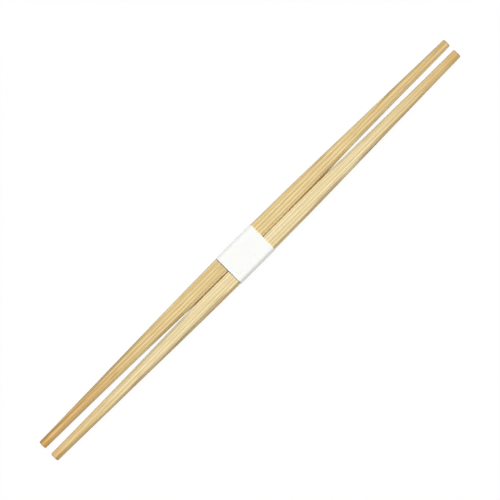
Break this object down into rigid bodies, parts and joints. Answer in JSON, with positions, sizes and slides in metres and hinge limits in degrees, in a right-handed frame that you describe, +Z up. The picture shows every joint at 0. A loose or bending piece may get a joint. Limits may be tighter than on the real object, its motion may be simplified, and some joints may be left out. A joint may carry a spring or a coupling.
{
  "type": "disposable wooden chopsticks",
  "caption": "Plain wooden chopsticks, thick in the middle and tapered to both ends, held side by side by a band of white paper.",
  "frame": {"origin": "on the surface that the pair rests on, under the middle of the chopsticks' length and between the two of them", "axes": "+X along the chopsticks, away from the end that the paper band is nearer to; +Y across them to the left chopstick; +Z up"},
  "size_m": [0.24, 0.015, 0.0057],
  "materials": {
    "left_wood": "planed, unvarnished, straight grained, the darker of the two sticks",
    "right_wood": "planed, unvarnished, straight grained, the paler of the two sticks",
    "white_paper": "uncoated, matt"
  },
  "bodies": {
    "root": {"left_chopstick": "left_wood", "right_chopstick": "right_wood", "paper_band": "white_paper"}
  },
  "joints": []
}
